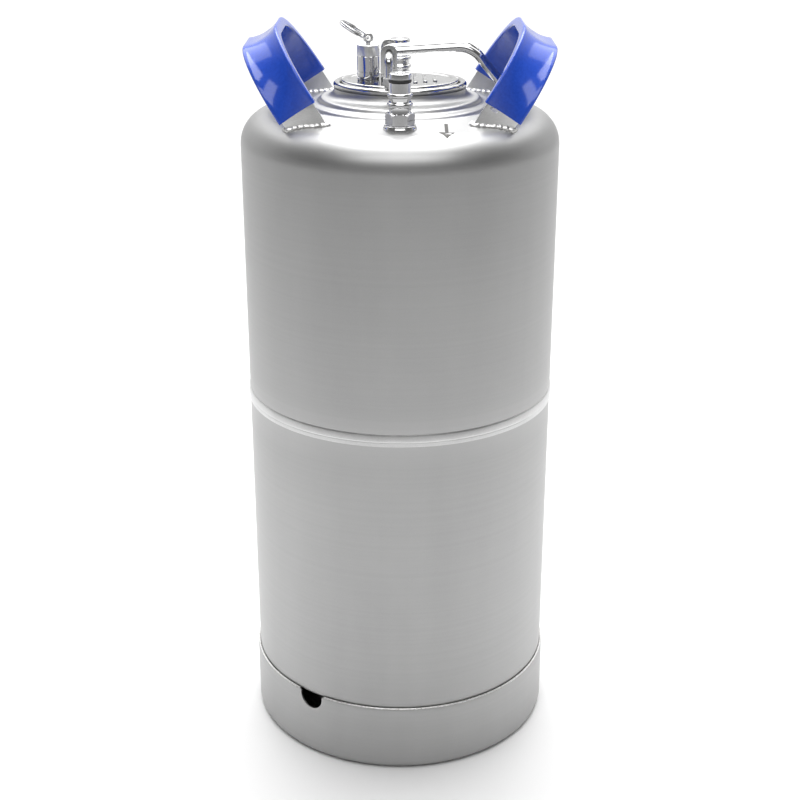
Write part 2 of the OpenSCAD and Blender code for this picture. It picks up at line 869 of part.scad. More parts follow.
module relief_valve_stem() {
    color("silver") translate([valve_x, 0, 0]) difference() {
        union() {
            translate([0, 0, disc_z]) cylinder(r = chamber_r - 1.6, h = disc_h);
            translate([0, 0, disc_z]) cylinder(r = stem_r, h = eye_z - disc_z);
            translate([0, 0, eye_z]) rotate([90, 0, 0]) cylinder(r = eye_r, h = 3, center = true);
        }
        translate([0, 0, eye_z]) rotate([90, 0, 0]) cylinder(r = eye_hole_r, h = far, center = true);
    }
}

module relief_valve_seal() {
    color("black") translate([valve_x, 0, disc_z - seal_disc_h])
        cylinder(r = chamber_r - 2.4, h = seal_disc_h);
}

module relief_valve_spring() {
    low = disc_z + disc_h + 0.05;
    color("gray") translate([valve_x, 0, low]) coil(chamber_r - 2.6, 0.6, valve_top - low - 0.1, 5);
}

module relief_pull_ring() {
    line_r = ring_r - ring_wire_r;
    color("silver") translate([valve_x, 0, eye_z])
        rotate([0, ring_tilt, 0])
            translate([-line_r, 0, 0])
                rotate_extrude()
                    for (s = [-1, 1]) translate([line_r, s * ring_wire_r * 0.95]) circle(r = ring_wire_r);
}

upper_shell();
lower_shell();
waist_band();
mouth_neck();
mouth_rim();
base_skirt();
skirt_weld();
left_handle_strap();
right_handle_strap();
left_handle_sleeve();
right_handle_sleeve();
handle_welds();
gas_boss();
liquid_boss();
gas_post_body();
liquid_post_body();
gas_post_oring();
liquid_post_oring();
gas_poppet();
liquid_poppet();
gas_poppet_spring();
liquid_poppet_spring();
gas_dip_tube();
liquid_dip_tube();
gas_dip_tube_seal();
liquid_dip_tube_seal();
lid_plate();
lid_seal();
bail_bracket();
bail_handle();
bail_feet();
relief_valve_body();
relief_valve_cap();
relief_valve_nut();
relief_valve_stem();
relief_valve_spring();
relief_valve_seal();
relief_pull_ring();
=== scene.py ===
"""Visual model of a tall beverage keg with an oval lid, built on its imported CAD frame.

Every length is in metres and every piece lies in the frame of the CAD model, so the visual pieces
move with the CAD bodies. Each sub-assembly is a class whose fields are its sizes.
"""
import logging
import random
from dataclasses import dataclass
from enum import Enum
from math import asin, atan2, cos, degrees, dist, hypot, pi, radians, sin, sqrt, tan
from typing import Callable, Sequence

import bmesh
import bpy
from mathutils import Matrix, Vector, noise


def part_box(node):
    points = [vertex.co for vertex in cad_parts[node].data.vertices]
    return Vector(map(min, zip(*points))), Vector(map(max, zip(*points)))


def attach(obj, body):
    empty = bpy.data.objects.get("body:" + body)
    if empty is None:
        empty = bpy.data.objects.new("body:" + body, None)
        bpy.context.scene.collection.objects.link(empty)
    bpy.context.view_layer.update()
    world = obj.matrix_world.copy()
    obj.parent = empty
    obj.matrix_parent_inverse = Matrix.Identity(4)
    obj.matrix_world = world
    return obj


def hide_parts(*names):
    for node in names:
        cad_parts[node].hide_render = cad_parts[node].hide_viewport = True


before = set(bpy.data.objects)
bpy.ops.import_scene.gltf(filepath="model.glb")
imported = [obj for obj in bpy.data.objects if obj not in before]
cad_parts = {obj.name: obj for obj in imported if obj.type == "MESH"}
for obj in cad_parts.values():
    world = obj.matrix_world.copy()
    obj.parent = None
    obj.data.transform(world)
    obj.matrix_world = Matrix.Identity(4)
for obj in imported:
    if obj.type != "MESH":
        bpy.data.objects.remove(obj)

LOG = logging.getLogger("keg")
MM = 0.001
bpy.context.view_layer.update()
SHARP = 32.0
Mesh = bmesh.types.BMesh
Socket = bpy.types.NodeSocket
Profile = list[tuple[float, float]]
Ring = Sequence[Sequence[float]]


# ---------- finishes ----------

class Finish(Enum):
    """The keg's finishes; each value is the name of its material."""

    SATIN = "satin_steel"
    BAND = "weld_band"
    STRAP = "bare_strap"
    BEAD = "weld_bead"
    POLISHED = "polished_steel"
    CHROME = "chrome"
    WIRE = "ring_wire"
    SPRING = "spring_steel"
    CAP = "satin_cap"
    BLUE = "blue_vinyl"
    GREY = "clear_grey_vinyl"
    RUBBER = "black_rubber"


@dataclass(frozen=True)
class Look:
    """What a finish looks like.

    Args:
        dark: linear colour in the grain's hollows.
        light: linear colour on the grain's tops.
        rough: lowest and highest roughness.
        metallic: 1 for metal, 0 for plastic and rubber.
        grain: cells of the fine grain per metre along X, Y and Z.
        cloud: cells of the slow variation per metre.
        bump: height of the grain in metres.
        coat: weight of the clear gloss on top.
        edge_wear: how much lighter the outer edges are.
    """

    dark: tuple[float, float, float]
    light: tuple[float, float, float]
    rough: tuple[float, float]
    metallic: float = 1.0
    grain: tuple[float, float, float] = (900.0, 900.0, 900.0)
    cloud: float = 9.0
    bump: float = 0.00002
    coat: float = 0.0
    edge_wear: float = 0.0


LOOKS: dict[Finish, Look] = {
    Finish.SATIN: Look((0.385, 0.385, 0.385), (0.43, 0.43, 0.428), (0.38, 0.46), grain=(1500, 1500, 1500),
                       cloud=7.0, bump=0.00001, edge_wear=0.1),
    Finish.BAND: Look((0.58, 0.58, 0.58), (0.68, 0.68, 0.678), (0.30, 0.42), grain=(700, 700, 1200),
                      cloud=30.0, bump=0.00003, edge_wear=0.1),
    Finish.STRAP: Look((0.66, 0.66, 0.66), (0.78, 0.78, 0.775), (0.30, 0.42), grain=(500, 500, 1400),
                       cloud=40.0, edge_wear=0.15),
    Finish.BEAD: Look((0.55, 0.545, 0.53), (0.86, 0.86, 0.85), (0.22, 0.5), grain=(600, 600, 600),
                      cloud=260.0, bump=0.00012, edge_wear=0.1),
    Finish.POLISHED: Look((0.50, 0.50, 0.50), (0.60, 0.60, 0.597), (0.10, 0.17), grain=(900, 900, 900),
                          cloud=35.0, bump=0.000006, edge_wear=0.15),
    Finish.CHROME: Look((0.52, 0.52, 0.525), (0.62, 0.62, 0.625), (0.05, 0.11), grain=(700, 700, 700),
                        cloud=45.0, bump=0.000003, edge_wear=0.1),
    Finish.WIRE: Look((0.48, 0.48, 0.48), (0.62, 0.62, 0.62), (0.12, 0.24), grain=(1200, 1200, 1200),
                      cloud=120.0, bump=0.00001, edge_wear=0.1),
    Finish.SPRING: Look((0.40, 0.39, 0.37), (0.55, 0.54, 0.52), (0.25, 0.4), cloud=200.0),
    Finish.CAP: Look((0.72, 0.72, 0.71), (0.84, 0.84, 0.83), (0.32, 0.44), grain=(1300, 1300, 200),
                     cloud=60.0, bump=0.00001, edge_wear=0.1),
    Finish.BLUE: Look((0.011, 0.052, 0.38), (0.016, 0.070, 0.49), (0.10, 0.18), metallic=0.0,
                      grain=(420, 420, 420), cloud=22.0, bump=0.00002, coat=0.2, edge_wear=0.04),
    Finish.GREY: Look((0.42, 0.42, 0.41), (0.55, 0.55, 0.54), (0.35, 0.5), metallic=0.0,
                      grain=(900, 900, 900), cloud=60.0, bump=0.00002),
    Finish.RUBBER: Look((0.010, 0.010, 0.011), (0.022, 0.022, 0.023), (0.38, 0.55), metallic=0.0,
                        grain=(1600, 1600, 1600), cloud=150.0, bump=0.00002),
}


@dataclass
class NodeTree:
    """A thin wrapper that adds and links shader nodes."""

    tree: bpy.types.NodeTree

    def add(self, kind: str, **values: object) -> bpy.types.Node:
        """Add a node, setting an attribute or an unlinked input for each keyword."""
        node = self.tree.nodes.new(kind)
        for key, value in values.items():
            if hasattr(node, key):
                setattr(node, key, value)
            else:
                self.put(node, key.replace("_", " "), value)
        return node

    def put(self, node: bpy.types.Node, name: str, value: object) -> None:
        """Set the input called name, by any capitals, to a value or link it from a socket."""
        self.feed(next(s for s in node.inputs if s.name.lower() == name.lower() and s.enabled), value)

    def feed(self, socket: Socket, value: object) -> None:
        """Set an input socket to a value or link it from another socket."""
        if isinstance(value, Socket):
            self.tree.links.new(value, socket)
        else:
            socket.default_value = value

    def ramp(self, fac: Socket, stops: Sequence[tuple[float, tuple]]) -> Socket:
        """Add a colour ramp over stops of place and linear colour."""
        node = self.add("ShaderNodeValToRGB", Fac=fac)
        cells = node.color_ramp.elements
        while len(cells) < len(stops):
            cells.new(0.5)
        for cell, (place, colour) in zip(cells, stops):
            cell.position = place
            cell.color = (*colour, 1.0)
        return node.outputs["Color"]

    def span(self, value: Socket, low: float, high: float, out_low: float,
             out_high: float) -> Socket:
        """Map value from low..high to out_low..out_high, clamped."""
        node = self.add("ShaderNodeMapRange", Value=value, From_Min=low, From_Max=high,
                        To_Min=out_low, To_Max=out_high)
        return node.outputs["Result"]

    def mixed(self, fac: object, a: object, b: object, blend: str = "MIX") -> Socket:
        """Mix two colours."""
        node = self.tree.nodes.new("ShaderNodeMix")
        node.data_type = "RGBA"
        node.blend_type = blend
        for place, value in ((0, fac), (6, a), (7, b)):
            self.feed(node.inputs[place], value)
        return node.outputs[2]

    def noise(self, place: Socket, scale: float, detail: float, rough: float = 0.5) -> Socket:
        """Add a noise over a place."""
        node = self.add("ShaderNodeTexNoise", Vector=place, Scale=scale, Detail=detail, Roughness=rough)
        return node.outputs["Fac"]

    def stretched(self, place: Socket, scale: Sequence[float]) -> Socket:
        """Scale a place along its three axes."""
        return self.add("ShaderNodeMapping", Vector=place, Scale=scale).outputs["Vector"]

    def math(self, operation: str, a: object, b: object = 0.0) -> Socket:
        """Add a math node."""
        node = self.tree.nodes.new("ShaderNodeMath")
        node.operation = operation
        for socket, value in zip(node.inputs, (a, b)):
            self.feed(socket, value)
        return node.outputs[0]


class Finishes:
    """Builds each finish's material once and hands it out."""

    def __init__(self) -> None:
        """Start with no material built."""
        self._made: dict[Finish, bpy.types.Material] = {}

    def get(self, finish: Finish) -> bpy.types.Material:
        """Return the material of a finish, building it the first time."""
        if finish not in self._made:
            self._made[finish] = self._build(finish, LOOKS[finish])
        return self._made[finish]

    def etched(self) -> bpy.types.Material:
        """Return the dull grey of etched steel."""
        look = Look((0.035, 0.033, 0.03), (0.09, 0.085, 0.08), (0.55, 0.7), 0.4, (1500, 1500, 1500), 250.0)
        return self._build(Finish.SPRING, look)

    def _build(self, finish: Finish, look: Look) -> bpy.types.Material:
        """Build a finish's nodes: grain, slow clouds, worn edges and, for the sheet, rolling marks."""
        material = bpy.data.materials.new(finish.value)
        material.use_nodes = True
        nodes = NodeTree(material.node_tree)
        shader = material.node_tree.nodes["Principled BSDF"]
        place = nodes.add("ShaderNodeTexCoord").outputs["Object"]
        grain = nodes.noise(nodes.stretched(place, look.grain), 1.0, 3.0, 0.6)
        cloud = nodes.noise(place, look.cloud, 4.0, 0.55)
        both = nodes.math("ADD", nodes.math("MULTIPLY", grain, 0.45), nodes.math("MULTIPLY", cloud, 0.55))
        colour = nodes.ramp(both, ((0.36, look.dark), (0.62, look.light)))
        if finish is Finish.SATIN:
            colour = self._rolling_marks(nodes, place, colour)
        if look.edge_wear:
            edge = nodes.add("ShaderNodeNewGeometry").outputs["Pointiness"]
            worn = nodes.span(edge, 0.52, 0.60, 0.0, look.edge_wear)
            colour = nodes.mixed(worn, colour, (0.95, 0.95, 0.95, 1.0))
        nodes.put(shader, "Base Color", colour)
        nodes.put(shader, "Roughness", nodes.span(both, 0.3, 0.7, *look.rough))
        bump = nodes.add("ShaderNodeBump", Strength=1.0, Distance=look.bump, Height=grain)
        nodes.put(shader, "Normal", bump.outputs["Normal"])
        shader.inputs["Metallic"].default_value = look.metallic
        shader.inputs["Coat Weight"].default_value = look.coat
        shader.inputs["Coat Roughness"].default_value = 0.08
        return material

    def _rolling_marks(self, nodes: NodeTree, place: Socket,
                       colour: Socket) -> Socket:
        """Add the drawn sheet's faint level streaks and long upright shades."""
        streak = nodes.noise(nodes.stretched(place, (0.5, 0.5, 240.0)), 1.0, 2.0)
        shade = nodes.noise(nodes.stretched(place, (24.0, 24.0, 1.3)), 1.0, 3.0)
        faint = nodes.span(streak, 0.35, 0.65, 0.97, 1.0)
        tall = nodes.span(shade, 0.35, 0.65, 0.96, 1.0)
        tone = nodes.math("MULTIPLY", faint, tall)
        grey = nodes.add("ShaderNodeCombineColor", Red=tone, Green=tone, Blue=tone).outputs["Color"]
        return nodes.mixed(1.0, colour, grey, "MULTIPLY")


FINISHES = Finishes()


# ---------- mesh tools ----------

move = Matrix.Translation


def turn(angle: float, axis: str) -> Matrix:
    """Return the turn by an angle in degrees about an axis."""
    return Matrix.Rotation(radians(angle), 4, axis)


def mm(points: Profile) -> Profile:
    """Turn a profile in millimetres into metres."""
    return [(a * MM, b * MM) for a, b in points]


def arc(centre: tuple[float, float], radius: float, start: float, end: float, steps: int = 12) -> Profile:
    """Return points of an arc.

    Args:
        centre: the arc's centre.
        radius: its radius.
        start: first angle in degrees.
        end: last angle in degrees.
        steps: number of chords.

    Returns:
        The points, both ends included.
    """
    angles = (radians(start + (end - start) * i / steps) for i in range(steps + 1))
    return [(centre[0] + radius * cos(a), centre[1] + radius * sin(a)) for a in angles]


def loft(bm: Mesh, rings: Sequence[Ring], closed: bool = False) -> Mesh:
    """Draw the first ring and extrude it through the others.

    Args:
        bm: mesh to add to.
        rings: the sections, all with the same number of points.
        closed: whether the last section joins the first; if not, both ends are capped.

    Returns:
        The mesh.
    """
    first = [bm.verts.new(p) for p in rings[0]]
    verts = first
    edges = [bm.edges.new(pair) for pair in zip(verts, verts[1:] + verts[:1])]
    for points in list(rings[1:]) + ([rings[0]] if closed else []):
        made = bmesh.ops.extrude_edge_only(bm, edges=edges)["geom"]
        fresh = {v for v in made if isinstance(v, bmesh.types.BMVert)}
        edges = [e for e in made if isinstance(e, bmesh.types.BMEdge) and fresh.issuperset(e.verts)]
        verts = [next(e.other_vert(v) for e in v.link_edges if e.other_vert(v) in fresh) for v in verts]
        for vert, point in zip(verts, points):
            vert.co = point
    if closed:
        bmesh.ops.weld_verts(bm, targetmap=dict(zip(verts, first)))
    else:
        for end in (first, verts):
            bm.faces.new(end)
    return bm


def spin(bm: Mesh, profile: Profile, at: Sequence[float] = (0.0, 0.0, 0.0),
         steps: int = 96, closed: bool = True) -> Mesh:
    """Spin a profile of radius and height about Z and move it to at.

    Args:
        bm: mesh to add to.
        profile: points of radius and height.
        at: where the profile's own origin goes.
        steps: number of steps round the circle.
        closed: whether the last point joins the first.

    Returns:
        The mesh.
    """
    verts = [bm.verts.new((x, 0.0, z)) for x, z in profile]
    pairs = list(zip(verts, verts[1:])) + ([(verts[-1], verts[0])] if closed else [])
    edges = [bm.edges.new(pair) for pair in pairs if max(v.co.x for v in pair) > 1e-9]
    before = set(bm.verts) - set(verts)
    bmesh.ops.spin(bm, geom=verts + edges, cent=(0, 0, 0), axis=(0, 0, 1), dvec=(0, 0, 0),
                   angle=2 * pi, steps=steps, use_merge=True)
    made = [v for v in bm.verts if v not in before]
    bmesh.ops.remove_doubles(bm, verts=made, dist=1e-7)
    bmesh.ops.translate(bm, vec=at, verts=[v for v in bm.verts if v not in before])
    return bm


def rounded(points: Sequence[Vector], radii: Sequence[float], steps: int = 8) -> list[Vector]:
    """Round each inner corner of a path by its radius, given for the inner points in order."""
    path = [points[0]]
    for before, corner, after, radius in zip(points, points[1:], points[2:], radii):
        into, out = (before - corner).normalized(), (after - corner).normalized()
        reach = radius * tan((pi - into.angle(out)) / 2)
        a, b = corner + into * reach, corner + out * reach
        for i in range(steps + 1):
            t = i / steps
            path.append(a * (1 - t) ** 2 + corner * 2 * t * (1 - t) + b * t ** 2)
    path.append(points[-1])
    return path


def tube(bm: Mesh, path: Sequence[Vector], radius: Callable[[int], float],
         sides: int = 20, closed: bool = False) -> Mesh:
    """Sweep a circle along a path without twist.

    Args:
        bm: mesh to add to.
        path: the centre line.
        radius: the circle's radius at each index of the path.
        sides: corners of the circle.
        closed: whether the path is a loop.

    Returns:
        The mesh.
    """
    count = len(path)
    tangents = []
    for i in range(count):
        after = path[(i + 1) % count] if closed else path[min(i + 1, count - 1)]
        before = path[i - 1] if closed or i else path[0]
        tangents.append((after - before).normalized())
    normal = tangents[0].orthogonal().normalized()
    rings = []
    for i, (point, tangent) in enumerate(zip(path, tangents)):
        normal = (normal - tangent * normal.dot(tangent)).normalized()
        side = tangent.cross(normal)
        turns = (2 * pi * k / sides for k in range(sides))
        rings.append([point + (normal * cos(a) + side * sin(a)) * radius(i) for a in turns])
    return loft(bm, rings, closed)


def plate(bm: Mesh, outline: Profile, depth: float, place: Matrix, bevel: float = 0.0) -> None:
    """Extrude an outline by depth along its own +Z, round its edges and carry it to its place."""
    old = set(bm.verts)
    verts = [bm.verts.new((x, y, 0.0)) for x, y in outline]
    face = bm.faces.new(verts)
    top = bmesh.ops.extrude_face_region(bm, geom=[face])
    lifted = [v for v in top["geom"] if isinstance(v, bmesh.types.BMVert)]
    bmesh.ops.translate(bm, vec=(0, 0, depth), verts=lifted)
    made = [v for v in bm.verts if v not in old]
    if bevel:
        rims = [e for e in bm.edges if e.verts[0] in made and abs(e.verts[0].co.z - e.verts[1].co.z) < 1e-9]
        bmesh.ops.bevel(bm, geom=rims, offset=bevel, segments=3, profile=0.5, affect="EDGES", material=-1)
    bmesh.ops.transform(bm, matrix=place, verts=[v for v in bm.verts if v not in old])


def publish(name: str, bm: Mesh, finish: Finish, body: str,
            angle: float = SHARP) -> bpy.types.Object:
    """Turn a mesh into a piece of the keg, in place of the CAD node of that name if there is one.

    Args:
        name: the piece's name.
        bm: its mesh, freed here.
        finish: its finish.
        body: the CAD body that it rides on.
        angle: edges sharper than this many degrees stay sharp.

    Returns:
        The new object.
    """
    bmesh.ops.recalc_face_normals(bm, faces=bm.faces)
    mesh = bpy.data.meshes.new(name)
    bm.to_mesh(mesh)
    bm.free()
    mesh.shade_smooth()
    mesh.set_sharp_from_angle(angle=radians(angle))
    piece = bpy.data.objects.new(name, mesh)
    bpy.context.scene.collection.objects.link(piece)
    mesh.materials.append(FINISHES.get(finish))
    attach(piece, body)
    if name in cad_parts:
        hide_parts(name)
    LOG.info("%s: %d faces, %s on %s", name, len(mesh.polygons), finish.value, body)
    return piece


def carve(piece: bpy.types.Object, cutter: Mesh) -> None:
    """Cut the cutter's shape out of a piece and apply the cut."""
    bmesh.ops.recalc_face_normals(cutter, faces=cutter.faces)
    mesh = bpy.data.meshes.new("cutter")
    cutter.to_mesh(mesh)
    cutter.free()
    tool = bpy.data.objects.new("cutter", mesh)
    bpy.context.scene.collection.objects.link(tool)
    cut = piece.modifiers.new("cut", "BOOLEAN")
    cut.object = tool
    cut.operation = "DIFFERENCE"
    cut.solver = "EXACT"
    graph = bpy.context.evaluated_depsgraph_get()
    solid = bpy.data.meshes.new_from_object(piece.evaluated_get(graph))
    piece.modifiers.remove(cut)
    old = piece.data
    solid.name = piece.name
    piece.data = solid
    bpy.data.meshes.remove(old)
    bpy.data.objects.remove(tool)
    bpy.data.meshes.remove(mesh)
    solid.set_sharp_from_angle(angle=radians(SHARP))


# ---------- the vessel ----------

@dataclass
class Vessel:
    """The two drawn shells, the waist band, the skirt and its weld."""

    radius: float = 148 * MM
    wall: float = 1.4 * MM
    knuckle: float = 30 * MM
    dome_edge_z: float = 624 * MM
    neck_r: float = 86 * MM
    neck_z: float = 628.5 * MM
    waist_z: float = 352.4 * MM
    knee_z: float = 72.15 * MM
    crown_r: float = 300 * MM
    bottom_z: float = 15 * MM
    skirt_t: float = 2 * MM
    curl_r: float = 7 * MM
    rest_w: float = 2.4 * MM
    notch_r: float = 13 * MM
    notch_drop: float = 3 * MM
    notch_angle: float = -126.0
    band_h: float = 12 * MM
    band_out: float = 1.2 * MM
    seam_z: float = 68.15 * MM
    tuck: float = 10 * MM
    tuck_h: float = 5 * MM

    @property
    def edge_r(self) -> float:
        """Radius where the knuckles start."""
        return self.radius - self.knuckle

    def dome(self, r: float) -> float:
        """Height of the outer surface on top at a radius."""
        if r > self.edge_r:
            return self.dome_edge_z - self.knuckle + sqrt(max(self.knuckle ** 2 - (r - self.edge_r) ** 2, 0))
        slope = (self.neck_z - self.dome_edge_z) / (self.edge_r - self.neck_r)
        return self.dome_edge_z + slope * (self.edge_r - r)

    def build(self) -> None:
        """Build every fixed sheet of the vessel below the neck."""
        self._upper()
        self._lower()
        self._band()
        self._skirt()
        self._weld()

    def _shell(self, name: str, outer: Profile) -> None:
        """Spin a shell from its outer outline, its wall turned inward."""
        bm = bmesh.new()
        spin(bm, outer, steps=192, closed=False)
        bmesh.ops.recalc_face_normals(bm, faces=bm.faces)
        bmesh.ops.solidify(bm, geom=bm.faces[:], thickness=self.wall)
        publish(name, bm, Finish.SATIN, "keg", angle=40)

    def _upper(self) -> None:
        """Build the upper shell: wall, knuckle and dome."""
        lip = self.neck_r - 6 * MM
        rows = 10
        wall = [(self.radius, self.waist_z + (self.dome_edge_z - self.knuckle - self.waist_z) * i / rows)
                for i in range(rows)]
        top = arc((self.edge_r, self.dome_edge_z - self.knuckle), self.knuckle, 0, 90, 18)
        self._shell("upper_shell", wall + top + [(lip, self.dome(lip))])

    def _lower(self) -> None:
        """Build the lower shell: dished bottom, knuckle tucked in behind the skirt, and wall."""
        crown_z = self.bottom_z + self.crown_r
        base = degrees(atan2(self.knee_z - crown_z, self.edge_r))
        bottom = arc((0, crown_z), self.crown_r, -90, base, 20)
        bend = arc((self.edge_r, self.knee_z), self.knuckle, base, 0, 14)
        rows = 10
        bend = [(r - self.tuck * min(max((self.seam_z - z) / self.tuck_h, 0), 1), z) for r, z in bend]
        rise = (self.waist_z - self.knee_z) / rows
        wall = [(self.radius, self.knee_z + rise * (i + 1)) for i in range(rows)]
        self._shell("lower_shell", bottom + bend[1:] + wall)

    def _band(self) -> None:
        """Build the waist band: a bright upper land, a fine line and a lower weld land."""
        low, high = -self.band_h / 2, self.band_h / 2
        out, land = self.band_out, 1.6 * MM
        line = low + self.band_h * 0.34
        shape = [(0.0, low), (out * 0.55, low + 0.1 * MM), (out * 0.75, low + 0.4 * MM),
                 (out * 0.6, line - 0.4 * MM), (out * 0.25, line), (out * 0.85, line + 0.3 * MM),
                 (out, line + 0.7 * MM), (out * 0.97, line + land), (out * 0.62, high - land),
                 (out * 0.35, high - 0.6 * MM), (0.1 * MM, high), (0.0, high)]
        shape = [(self.radius + 0.02 * MM + x, self.waist_z + z) for x, z in shape]
        publish("waist_band", spin(bmesh.new(), shape, steps=192), Finish.BAND, "keg", angle=28)

    def _skirt(self) -> None:
        """Build the skirt with its curled foot, and cut the drain notch."""
        out = self.radius + 0.1 * MM + self.skirt_t
        curl = arc((out - self.curl_r - self.rest_w, self.curl_r), self.curl_r, -140, -90, 8)
        curl += arc((out - self.curl_r, self.curl_r), self.curl_r, -90, 0, 12)
        rise = [(out, self.curl_r + (self.seam_z - 0.6 * MM - self.curl_r) * (i + 1) / 6) for i in range(6)]
        outer = curl + rise + [(out - 0.25 * MM, self.seam_z - 0.15 * MM), (out - 0.7 * MM, self.seam_z)]
        bm = bmesh.new()
        spin(bm, outer, steps=192, closed=False)
        bmesh.ops.recalc_face_normals(bm, faces=bm.faces)
        bmesh.ops.solidify(bm, geom=bm.faces[:], thickness=self.skirt_t * 0.85)
        skirt = publish("base_skirt", bm, Finish.SATIN, "keg", angle=40)
        cutter = bmesh.new()
        foot = arc((0.0, 0.0), self.notch_r, 180, 360, 28)
        tall = self.notch_r * 2
        aim = turn(self.notch_angle + 90, "Z")
        lift = move((0, -self.radius + 20 * MM, self.seam_z - self.notch_drop))
        plate(cutter, [(-self.notch_r, tall)] + foot + [(self.notch_r, tall)], 40 * MM,
              aim @ lift @ turn(90, "X"))
        carve(skirt, cutter)

    def _weld(self) -> None:
        """Lay the weld bead between the skirt and the lower shell, with its small ripples."""
        rng = random.Random(7)
        gap = degrees(asin((self.notch_r + 2 * MM) / self.radius))
        steps = 900
        start, end = self.notch_angle + gap, self.notch_angle + 360 - gap
        path, sizes = [], []
        for i in range(steps + 1):
            a = radians(start + (end - start) * i / steps)
            r = self.radius + 0.75 * MM + 0.08 * MM * sin(i * 1.9) + rng.uniform(-0.05, 0.05) * MM
            path.append(Vector((r * cos(a), r * sin(a), self.seam_z + 0.25 * MM)))
            sizes.append(1.0 * MM + 0.09 * MM * sin(i * 1.7) + rng.uniform(-0.05, 0.05) * MM)
        bead = tube(bmesh.new(), path, lambda i: sizes[i], sides=10)
        publish("skirt_weld", bead, Finish.BEAD, "keg", angle=50)


# ---------- the oval mouth ----------

@dataclass
class Oval:
    """The rim's centre line: two end arcs and two side arcs that meet smoothly."""

    end_r: float = 42 * MM
    end_x: float = 16.1 * MM
    half_width: float = 49.7 * MM

    def __post_init__(self) -> None:
        """Work out the side arcs."""
        a = self.end_x
        self.side_r = (a ** 2 + self.half_width ** 2 - self.end_r ** 2) / (2 * (self.half_width - self.end_r))
        self.side_y = self.side_r - self.half_width
        self.meet = degrees(atan2(self.side_y, a))

    def points(self, offset: float, z: float, steps: int = 34) -> list[Vector]:
        """Return one closed ring at an offset from the centre line and a height."""
        arcs = ((self.end_x, 0, self.end_r, -self.meet, self.meet),
                (0, -self.side_y, self.side_r, self.meet, 180 - self.meet),
                (-self.end_x, 0, self.end_r, 180 - self.meet, 180 + self.meet),
                (0, self.side_y, self.side_r, 180 + self.meet, 360 - self.meet))
        flat: list[Vector] = []
        for x, y, r, start, end in arcs:
            flat += [Vector((*p, z)) for p in arc((x, y), r + offset, start, end, steps)[:-1]]
        return flat

    def circle(self, radius: float, z: float) -> list[Vector]:
        """Return a round ring whose points lie on the same rays as the oval's."""
        return [Vector((p.x, p.y, 0)).normalized() * radius + Vector((0, 0, z)) for p in self.points(0, 0)]


@dataclass
class Mouth:
    """The neck with its two soft steps and the rolled rim."""

    oval: Oval
    rim_r: float = 3.2 * MM
    rim_z: float = 646.8 * MM
    plate_z: float = 636.1 * MM
    flank_foot: float = 11.8 * MM
    flank_top: float = 2.65 * MM

    def build(self) -> None:
        """Build the neck and the rim."""
        bm = bmesh.new()
        steps = ((88.6, 627.9), (87.4, 628.35), (86.4, 628.8), (85.7, 629.6), (85.1, 630.5), (84.3, 631.2),
                 (83.0, 631.55), (81.0, 631.7), (78.6, 631.75), (76.9, 631.95), (75.7, 632.4), (75.0, 633.1),
                 (74.5, 634.0), (74.0, 634.9), (73.3, 635.6), (72.2, 636.0), (70.8, self.plate_z / MM))
        rings = [self.oval.circle(r * MM, z * MM) for r, z in steps]
        top = self.rim_z - self.rim_r + 0.4 * MM
        for i in range(13):
            a = radians(90 * i / 12)
            off = self.flank_foot - (self.flank_foot - self.flank_top) * sin(a)
            rings.append(self.oval.points(off, self.plate_z + (top - self.plate_z) * (1 - cos(a))))
        inner = ((1.2, top / MM), (1.2, 640.0), (4.0, 637.0), (8.0, 634.6), (14.0, 634.2))
        rings += [self.oval.points(off * MM, z * MM) for off, z in inner]
        rings.append(self.oval.circle(83.0 * MM, 626.9 * MM))
        loft(bm, rings, closed=True)
        publish("mouth_neck", bm, Finish.SATIN, "keg", angle=45)
        bm = bmesh.new()
        loft(bm, [self.oval.points(off, z) for off, z in arc((0, self.rim_z), self.rim_r, 0, 345, 23)],
             closed=True)
        publish("mouth_rim", bm, Finish.POLISHED, "keg")


